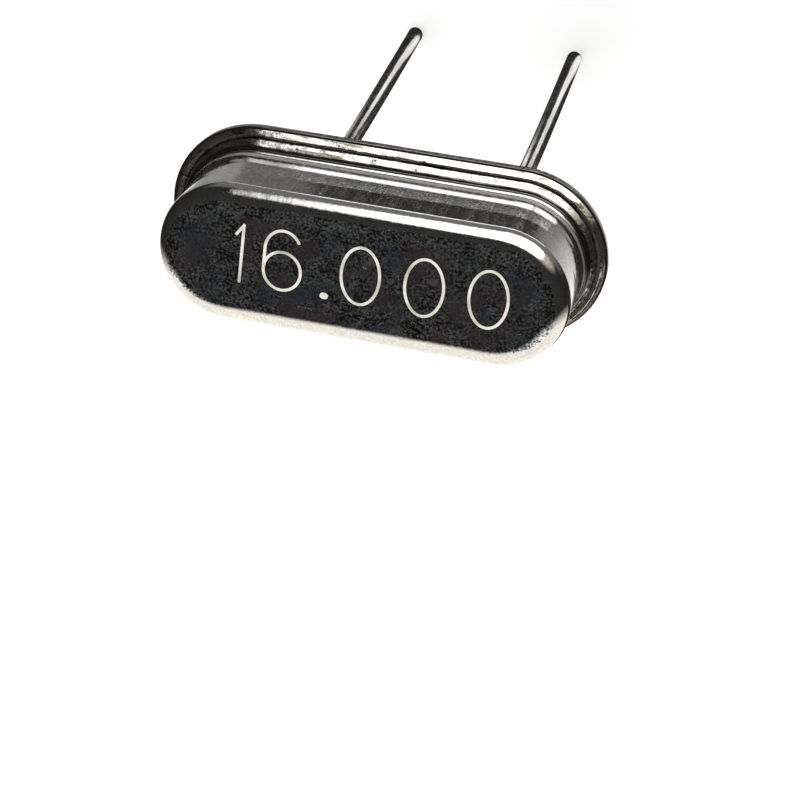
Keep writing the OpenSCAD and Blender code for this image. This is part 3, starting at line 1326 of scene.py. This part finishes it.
@dataclass
class GlassBead:
    """A fused bead in its bore: hollow below, where the glass climbs the wire."""

    side: Side
    recess: float = 0.12
    creep: float = 0.08
    wire_r: float = 0.213
    ridge_r: float = 0.45
    ridge: float = 0.012
    ridge_width: float = 0.035
    unevenness: float = 0.006
    steps: int = 112
    face_steps: int = 40

    def build(self, material: bpy.types.Material) -> bpy.types.Object:
        """Makes the bead by turning its section about the wire's axis.

        The hollow's height is recess - creep (1 - sqrt(1 - u u)) with u the share of the way
        from the bore to the wire, and a low round ridge stands where the melt stopped.

        Args:
            material: Its finish.

        Returns:
            The piece.
        """
        node = f"glass_seal_{self.side.label}"
        low, high = node_box(node)
        radius, top = (high[0] - low[0]) / 2, high[2]
        centre = (low[0] + high[0]) / 2
        r = np.linspace(self.wire_r, radius, self.face_steps)
        share = (radius - r) / (radius - self.wire_r)
        height = self.recess - self.creep * (1 - np.sqrt(np.clip(1 - share**2, 0.0, 1.0)))
        height = height - self.ridge * np.exp(-((r - self.ridge_r) / self.ridge_width) ** 2)
        section = join(
            np.column_stack((r, height)),
            straight((radius, self.recess), (radius, top), 6),
            straight((radius, top), (self.wire_r, top), 8),
        )
        grid = turned(section, self.steps)
        face = grid[:len(r)]
        face[..., 2] += ripple(face, lengths=(0.5,), depth=self.unevenness, seed=21)
        grid[..., 0] += centre
        piece = make_piece(f"glass_bead_{self.side.label}", [Patch(grid, loop=True)])
        return install(piece, "glass_seal", material, node)


@dataclass
class WireLead:
    """A tinned wire with a flat head inside, a feather of tin below the seal and a cut tip."""

    side: Side
    wire_r: float = 0.215
    tin: float = 0.01
    feather: float = 0.6
    chamfer: float = 0.06
    head_t: float = 0.12
    swing: float = 0.34
    swing_depth: float = 2.4
    lean: float = 0.035
    calm: float = 0.4
    unevenness: float = 0.02
    drawn_out: float = 0.35
    steps: int = 56

    def build(self, material: bpy.types.Material) -> bpy.types.Object:
        """Makes the lead: radius by height, less a ripple that follows the surface.

        Handling has bent the wire a little near the seal: at depth s it stands
        swing (1 - exp(-s / swing_depth)) - lean s towards +X.

        Args:
            material: Its finish.

        Returns:
            The piece.
        """
        node = f"lead_{self.side.label}"
        low, high = node_box(node)
        head_r, centre = (high[0] - low[0]) / 2, (low[0] + high[0]) / 2
        tinned, wire, soft = self.wire_r + self.tin, self.wire_r, self.chamfer
        tip, head = low[2], high[2]
        neck = head - self.head_t
        section = join(
            straight((0.0, tip), (tinned - soft, tip), 4),
            bend((tinned - soft, tip + soft), soft, 270.0, 360.0, 6),
            straight((tinned, tip + soft), (tinned, -self.feather), 150),
            straight((tinned, -self.feather), (wire, 0.0), 8),
            straight((wire, 0.0), (wire, neck), 6),
            straight((wire, neck), (head_r, neck), 2),
            straight((head_r, neck), (head_r, head), 2),
            straight((head_r, head), (0.0, head), 4),
        )
        grid = turned(section, self.steps)
        free = np.clip(-grid[..., 2] / self.calm, 0.0, 1.0)
        along = grid * np.array((1.0, 1.0, self.drawn_out))
        uneven = ripple(along, lengths=(0.55, 0.25), depth=self.unevenness,
                        seed=31 + self.side.value)
        grid[..., :2] *= (1.0 - np.abs(uneven) * free)[..., None]
        depth = np.maximum(-grid[..., 2], 0.0)
        grid[..., 0] += centre + self.swing * (1 - np.exp(-depth / self.swing_depth))
        grid[..., 0] -= self.lean * depth
        piece = make_piece(f"wire_lead_{self.side.label}", [Patch(grid)])
        return install(piece, "lead", material, node)


@dataclass
class RatedFrequency:
    """The rated frequency in plain figures on the top face, each one round-ended stroke."""

    height: float = 1.51
    width: float = 0.95
    stroke: float = 0.088
    point_r: float = 0.1
    proud: float = 0.004
    sunk: float = 0.004
    middle_y: float = 0.205
    turn: float = -0.7
    places: tuple[tuple[str, float], ...] = (
        ("1", -2.885), ("6", -1.86), ("point", -0.775), ("0", 0.085), ("0", 1.66), ("0", 3.235))

    def paths(self, figure: str) -> list[tuple[np.ndarray, bool]]:
        """Middle lines of a figure's strokes about its own centre.

        Args:
            figure: A digit, or "point".

        Returns:
            Per stroke, its line and whether it closes.
        """
        a, b = self.width / 2, self.height / 2
        if figure == "0":
            return [(bend((0.0, 0.0), 1.0, 0.0, 360.0, 96)[:-1] * (a, b), True)]
        if figure == "1":
            return [(straight((0.028, b + 0.04), (-0.028, -b + 0.03), 24), False),
                    (straight((0.02, b + 0.02), (-0.15, b - 0.22), 8), False)]
        if figure == "6":
            top, low = 0.29 * b / 0.755, -0.245
            hook = bend((0.0, 0.0), 1.0, 32.0, 180.0, 40) * (0.45, b + 0.07 - top) + (0.0, top)
            side = straight((-0.45, top), (-0.466, low), 12)
            bowl = bend((0.0, 0.0), 1.0, 180.0, 530.0, 72) * (0.466, 0.505) + (0.0, low)
            return [(join(hook, side, bowl), False)]
        return [(straight((-0.02, -b + 0.06), (0.02, -b + 0.06), 2), False)]

    def stroke_grid(self, line: np.ndarray, closed: bool, half: float, top: float) -> np.ndarray:
        """Flattened tube along a stroke: an oval of half width half and height proud at each
        point, square to the stroke, that shrinks as a half circle towards open ends.

        Args:
            line: Middle line in the plane of the top face.
            closed: Whether the line closes.
            half: Half of the stroke's width.
            top: Height of the top face.

        Returns:
            Array (rows, columns, 3) in millimetres.
        """
        if closed:
            along = np.roll(line, -1, axis=0) - np.roll(line, 1, axis=0)
            size = np.ones(len(line))
        else:
            lean = np.linspace(0.0, math.pi / 2, 9)[:-1]
            ease, ends = np.sin(lean), []
            for tip, before in ((line[0], line[1]), (line[-1], line[-2])):
                way = (tip - before) / np.linalg.norm(tip - before)
                ends.append(tip + way * half * np.cos(lean)[:, None])
            size = np.r_[ease, np.ones(len(line)), ease[::-1]]
            line = np.vstack((ends[0], line, ends[1][::-1]))
            along = np.gradient(line, axis=0)
        along = along / np.linalg.norm(along, axis=1, keepdims=True)
        across = np.column_stack((-along[:, 1], along[:, 0]))
        turn = np.linspace(0.0, 2 * math.pi, 14, endpoint=False)
        flat = line[:, None] + (size[:, None] * half * np.cos(turn))[..., None] * across[:, None]
        tall = top - self.sunk + size[:, None] * (self.proud + self.sunk) * np.sin(turn)
        return np.concatenate((flat, tall[..., None]), axis=2)

    def build(self, material: bpy.types.Material) -> bpy.types.Object:
        """Makes all figures as one piece on the can's top.

        Args:
            material: Their finish.

        Returns:
            The piece.
        """
        top = node_box("can")[1][2]
        patches = []
        for figure, x in self.places:
            half = self.point_r if figure == "point" else self.stroke / 2
            for line, closed in self.paths(figure):
                line = (line + (x, 0.0)) @ spin(self.turn) + (0.0, self.middle_y)
                patches.append(Patch(self.stroke_grid(line, closed, half, top), loop=closed))
        return install(make_piece("rated_frequency", patches), "can", material)


@dataclass
class BlankMount:
    """What the can hides: the clips, the quartz blank, its silver films and the paste dots."""

    def dress(self) -> None:
        """Gives the CAD nodes inside the can their finishes."""
        finishes = {
            "spring_clip": StampedStrip().material(), "quartz": LappedQuartz().material(),
            "electrode": SilverFilm().material(), "adhesive": SilverPaste().material(),
        }
        for name, node in sorted(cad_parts.items()):
            for start, material in finishes.items():
                if name.startswith(start):
                    node.data.materials.clear()
                    node.data.materials.append(material)
                    log.info("%s: kept, finish %s", name, material.name)


# ---------------------------------------------------------------- studio


@dataclass(frozen=True)
class SkyCard:
    """A soft bright area of the surroundings, in degrees of azimuth and elevation.

    Azimuth 0 is +Y and grows towards +X. Its outline is |u|^p + |v|^p = 1 in shares of the half
    sizes, so p of 2 is an oval and a larger one comes near a rectangle.
    """

    azimuth: float
    elevation: float
    half_width: float
    half_height: float
    strength: float
    power: float = 2.0
    softness: float = 0.25
    tint: Colour = (1.0, 1.0, 1.0)


@dataclass(frozen=True)
class FloorCard:
    """A card just above the floor that only reflections meet, in millimetres and degrees.

    Its outline is that of a sky card, about its centre and turned on the floor, and it fades to
    clear across the softness. Taper widens it along its height: 1 gives a wedge with its point
    at the near end.
    """

    name: str
    centre: Pair
    half: Pair
    strength: float
    turn: float = 0.0
    softness: float = 0.10
    power: float = 8.0
    lift: float = 0.05
    taper: float = 0.0

    def corners(self) -> tuple[Pair, ...]:
        """Corners of the rectangle that holds the card.

        Returns:
            The four corners, counter-clockwise from above.
        """
        square = np.array(((-1.0, -1.0), (1.0, -1.0), (1.0, 1.0), (-1.0, 1.0)))
        reach = np.array(self.half) * (1 + self.softness) * (1 + self.taper, 1.0)
        placed = square * reach @ spin(self.turn) + self.centre
        return tuple(map(tuple, placed))


@dataclass
class Studio:
    """Pale floor, soft light, and the bright and dark surroundings that the metal mirrors."""

    floor_z: float = -13.5
    floor_half: float = 400.0
    ambient: float = 0.62
    dome: Pair = (0.022, 0.062)
    dome_span: Pair = (-50.0, 80.0)
    table_near: float = 1.25
    table_far: float = 0.055
    table_fall: float = 1.1
    table_edge: Pair = (-54.0, -58.0)
    floor_grey: float = 0.80
    floor_glow: float = 0.42
    lamp_size: float = 90.0
    lamp_distance: float = 110.0
    lamp_lean: Triple = (-0.18, -0.12, 1.0)
    sky: tuple[SkyCard, ...] = (
        SkyCard(15.0, -42.0, 60.0, 22.0, 0.24, 3.0, 0.25),
        SkyCard(-75.0, -62.0, 36.0, 14.0, 0.38, 2.0, 0.20),
        SkyCard(47.0, -4.0, 18.0, 20.0, 0.8, 2.0, 0.5, (1.0, 0.90, 0.74)),
        SkyCard(17.0, -5.5, 30.5, 25.0, 3.2, 4.0, 0.10, (1.0, 0.99, 0.95)),
        SkyCard(177.0, -13.0, 57.0, 60.0, 1.48, 2.0, 0.18, (1.0, 0.955, 0.885)),
    )
    cards: tuple[FloorCard, ...] = (
        FloorCard("card_wall", (-0.6, 10.6), (5.8, 0.95), 2.4),
        FloorCard("card_wall_left", (-8.0, 10.6), (2.0, 0.95), 1.0),
        FloorCard("card_wall_right", (8.4, 9.2), (3.6, 0.95), 1.9, -33.0),
        FloorCard("card_under", (0.9, 0.3), (6.6, 8.3), 0.03, 0.0, 0.035, 12.0),
        FloorCard("card_left", (-1.48, 1.97), (0.92, 2.3), 1.15, -10.0, 0.08, 8.0, 0.1, 0.63),
        FloorCard("card_right", (3.73, 1.94), (1.10, 2.35), 1.15, -25.0, 0.08, 8.0, 0.1, 0.7),
        FloorCard("card_neighbour", (7.2, -1.9), (2.6, 1.1), 0.04, 30.0, 0.25, 3.0, 13.3),
    )

    def world(self) -> None:
        """Builds the world: even light for matt surfaces, the sky cards for mirrored rays."""
        world = bpy.data.worlds.new("studio")
        world.cycles.sampling_method = "NONE"
        tree = emptied(world)
        way = tree.add("ShaderNodeTexCoord").outputs["Generated"]
        axes = tree.add("ShaderNodeSeparateXYZ", {0: way}).outputs
        degree = 180.0 / math.pi
        azimuth = tree.times(tree.math("ARCTAN2", axes[0], axes[1]), degree)
        elevation = tree.times(tree.math("ARCSINE", axes[2]), degree)
        # the table below the horizon: bright in front, dim behind
        facing = tree.math("COSINE", tree.math("DIVIDE", azimuth, degree))
        near = tree.math("POWER", tree.times(tree.minus(1.0, facing), 0.5), self.table_fall)
        table = tree.plus(tree.times(near, self.table_near), self.table_far)
        table = tree.times(table, tree.spread(elevation, *self.table_edge, smooth=True))
        dome = tree.spread(elevation, *self.dome_span, *self.dome)
        level = tree.plus(table, dome)
        colour = tree.blend(1.0, (1.0, 0.985, 0.96), tree.add(
            "ShaderNodeCombineXYZ", {0: level, 1: level, 2: level}).outputs[0], "MULTIPLY")
        for card in self.sky:
            off = tree.math("WRAP", tree.minus(azimuth, card.azimuth), 180.0, -180.0)
            across = tree.math("DIVIDE", off, card.half_width)
            up = tree.math("DIVIDE", tree.minus(elevation, card.elevation), card.half_height)
            mask = oval(tree, across, up, card.power, card.softness)
            glow = tuple(c * card.strength for c in card.tint)
            colour = tree.blend(mask, colour, glow)
        grey = (1.0, 1.0, 1.0, 1.0)
        mirrored, plain, white = (
            tree.add("ShaderNodeBackground", {"Color": tone, "Strength": strength}).outputs[0]
            for tone, strength in ((colour, 1.0), (grey, self.ambient), (grey, 1.0)))
        path = tree.add("ShaderNodeLightPath").outputs
        seen = tree.mix(path["Is Glossy Ray"], plain, mirrored)
        seen = tree.mix(path["Is Camera Ray"], seen, white)
        sink = tree.add("ShaderNodeOutputWorld", {0: seen})
        sink.is_active_output = True
        bpy.context.scene.world = world

    def sheet(
        self, name: str, corners: tuple[Pair, ...], z: float, seen: Seen
    ) -> bpy.types.Object:
        """Makes a flat polygon of the stage.

        Args:
            name: Its name.
            corners: Its corners, counter-clockwise from above.
            z: Its height.
            seen: Which rays meet it.

        Returns:
            The object.
        """
        mesh = bpy.data.meshes.new(name)
        flat = np.column_stack((np.array(corners), np.full(len(corners), z)))
        mesh.from_pydata(flat * MM, [], [tuple(range(len(corners)))])
        piece = bpy.data.objects.new(name, mesh)
        bpy.context.scene.collection.objects.link(piece)
        mirror = seen is Seen.REFLECTION
        for ray in ("camera", "diffuse", "shadow", "transmission", "volume_scatter"):
            setattr(piece, f"visible_{ray}", not mirror)
        piece.visible_glossy = mirror
        return piece

    def floor(self) -> None:
        """Makes the pale floor, which keeps the part's shadow and is clear from below."""
        a = self.floor_half
        square = ((-a, -a), (a, -a), (a, a), (-a, a))
        piece = self.sheet("floor", square, self.floor_z, Seen.CAMERA)
        material = bpy.data.materials.new("pale_floor")
        tree = emptied(material)
        grey = (*(self.floor_grey,) * 3, 1.0)
        matt = tree.add("ShaderNodeBsdfDiffuse", {"Color": grey}).outputs[0]
        glow = tree.add("ShaderNodeEmission", {"Strength": self.floor_glow}).outputs[0]
        both = tree.add("ShaderNodeAddShader", {0: matt, 1: glow}).outputs[0]
        clear = tree.add("ShaderNodeBsdfTransparent").outputs[0]
        path = tree.add("ShaderNodeLightPath").outputs
        above = tree.mix(path["Is Camera Ray"], matt, both)
        below = tree.add("ShaderNodeNewGeometry").outputs["Backfacing"]
        tree.add("ShaderNodeOutputMaterial", {0: tree.mix(below, above, clear)})
        piece.data.materials.append(material)

    def floor_cards(self) -> None:
        """Lays out the cards that only reflections meet."""
        for card in self.cards:
            piece = self.sheet(
                card.name, card.corners(), self.floor_z + card.lift, Seen.REFLECTION)
            material = bpy.data.materials.new(card.name)
            tree = emptied(material)
            place = tree.add("ShaderNodeTexCoord").outputs["Object"]
            local = tree.add("ShaderNodeMapping", {
                "Vector": place, "Location": (card.centre[0] * MM, card.centre[1] * MM, 0.0),
                "Rotation": (0.0, 0.0, math.radians(card.turn)),
                "Scale": (card.half[0] * MM, card.half[1] * MM, 1.0)},
                vector_type="TEXTURE").outputs[0]
            across, along = tree.add("ShaderNodeSeparateXYZ", {0: local}).outputs[:2]
            width = tree.math("MULTIPLY_ADD", along, card.taper, 1.0)
            across = tree.math("DIVIDE", across, tree.math("MAXIMUM", width, 0.01))
            mask = oval(tree, across, along, card.power, card.softness)
            glow = tree.add("ShaderNodeEmission", {"Strength": card.strength}).outputs[0]
            clear = tree.add("ShaderNodeBsdfTransparent").outputs[0]
            tree.add("ShaderNodeOutputMaterial", {0: tree.mix(mask, clear, glow)})
            piece.data.materials.append(material)

    def lamp(self) -> None:
        """Hangs the soft overhead lamp that lights the matt surfaces and shades the floor."""
        data = bpy.data.lights.new("overhead", "AREA")
        data.shape, data.size = "DISK", self.lamp_size * MM
        distance = self.lamp_distance * MM
        level = 1.0 - self.ambient
        # an evenly lit disc of radiance L gives pi L r^2 / (r^2 + d^2) below its middle
        share = (data.size / 2) ** 2 / ((data.size / 2) ** 2 + distance**2)
        data.energy = level / share * math.pi * (data.size / 2) ** 2 * math.pi
        lamp = bpy.data.objects.new("overhead", data)
        lean = Vector(self.lamp_lean).normalized()
        lamp.location = lean * distance
        lamp.rotation_mode = "QUATERNION"
        lamp.rotation_quaternion = lean.to_track_quat("Z", "Y")
        lamp.visible_glossy = False
        lamp.visible_camera = False
        bpy.context.scene.collection.objects.link(lamp)

    def build(self) -> None:
        """Builds the whole stage."""
        self.world()
        self.floor()
        self.floor_cards()
        self.lamp()


@dataclass(frozen=True)
class Viewpoint:
    """Camera by aim, direction and roll; azimuth 0 is +Y and grows towards +X."""

    aim: Triple = (0.60, -4.88, 0.0)
    azimuth: float = 19.69
    elevation: float = 58.6
    roll: float = -4.49
    distance: float = 62.7
    lens: float = 108.0

    def build(self) -> None:
        """Makes the scene's camera."""
        a, e = math.radians(self.azimuth), math.radians(self.elevation)
        back = Vector((math.sin(a) * math.cos(e), math.cos(a) * math.cos(e), math.sin(e)))
        up = Vector((0.0, 1.0, 0.0))
        up = (up - back * up.dot(back)).normalized()
        up = Matrix.Rotation(math.radians(self.roll), 3, -back) @ up
        right = up.cross(back)
        data = bpy.data.cameras.new("camera")
        data.lens, data.sensor_width, data.clip_start = self.lens, 36.0, 1 * MM
        camera = bpy.data.objects.new("camera", data)
        camera.matrix_world = Matrix((
            (right.x, up.x, back.x, 0.0), (right.y, up.y, back.y, 0.0),
            (right.z, up.z, back.z, 0.0), (0.0, 0.0, 0.0, 1.0)))
        camera.location = (Vector(self.aim) + back * self.distance) * MM
        bpy.context.scene.collection.objects.link(camera)
        bpy.context.scene.camera = camera


# ---------------------------------------------------------------- assembly


def main() -> None:
    """Builds the crystal and its studio in order."""
    logging.basicConfig(level=logging.INFO, format="%(name)s: %(message)s")
    bpy.context.scene.view_settings.view_transform = "Standard"
    Viewpoint().build()
    Studio().build()
    nickel, satin = NickelPlate().material(), SatinPlate().material()
    glass, tin = FusedGlass().material(), TinDip().material()
    DrawnCan().build(nickel)
    StampedBase().build(satin)
    for side in Side:
        GlassBead(side).build(glass)
        WireLead(side).build(tin)
    RatedFrequency().build(Marking().material())
    BlankMount().dress()


if __name__ == "__main__":
    main()
